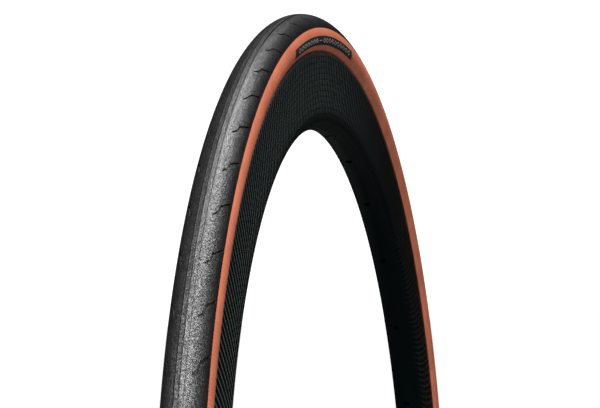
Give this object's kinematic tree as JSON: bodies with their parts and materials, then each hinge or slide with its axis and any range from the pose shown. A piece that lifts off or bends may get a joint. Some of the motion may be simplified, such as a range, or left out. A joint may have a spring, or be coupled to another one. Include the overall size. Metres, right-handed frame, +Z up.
{
  "type": "bicycle tire",
  "caption": "Tan-sidewall clincher road tire with grooved centre tread and zigzag shoulder cuts, seated on a deep hollow rim.",
  "frame": {"origin": "wheel centre, on the spin axis in the middle plane of the tire", "axes": "+Y along the spin axis, +Z up away from the valve hole, -Y is the side the label faces in the picture"},
  "size_m": [0.6779, 0.0264, 0.678],
  "materials": {
    "tread_rubber": "semi-matte moulded rubber, fine knurl",
    "shoulder_rubber": "matte pebbled rubber",
    "belt_fabric": "woven cord",
    "cushion_rubber": "matte",
    "casing_fabric": "cord ply, rubber coated",
    "liner_rubber": "smooth matte",
    "tan_rubber": "matte tan, faint cord lines",
    "chafer_fabric": "rubber coated cloth",
    "bead_fibre": "bundled fibre",
    "filler_rubber": "matte",
    "label_film": "smooth black transfer with a grey pattern",
    "rim_composite": "woven fibre composite under satin lacquer",
    "tape_film": "satin film"
  },
  "bodies": {
    "root": {"tread_centre": "tread_rubber", "tread_shoulder_left": "shoulder_rubber", "tread_shoulder_right": "shoulder_rubber", "puncture_belt": "belt_fabric", "cushion_rubber": "cushion_rubber", "casing_ply_outer": "casing_fabric", "casing_ply_inner": "casing_fabric", "inner_liner": "liner_rubber", "sidewall_left": "tan_rubber", "sidewall_right": "tan_rubber", "chafer_left": "chafer_fabric", "chafer_right": "chafer_fabric", "bead_core_left": "bead_fibre", "bead_core_right": "bead_fibre", "bead_filler_left": "filler_rubber", "bead_filler_right": "filler_rubber", "label_left": "label_film", "label_right": "label_film", "rim_body": "rim_composite", "rim_tape": "tape_film"}
  },
  "joints": []
}
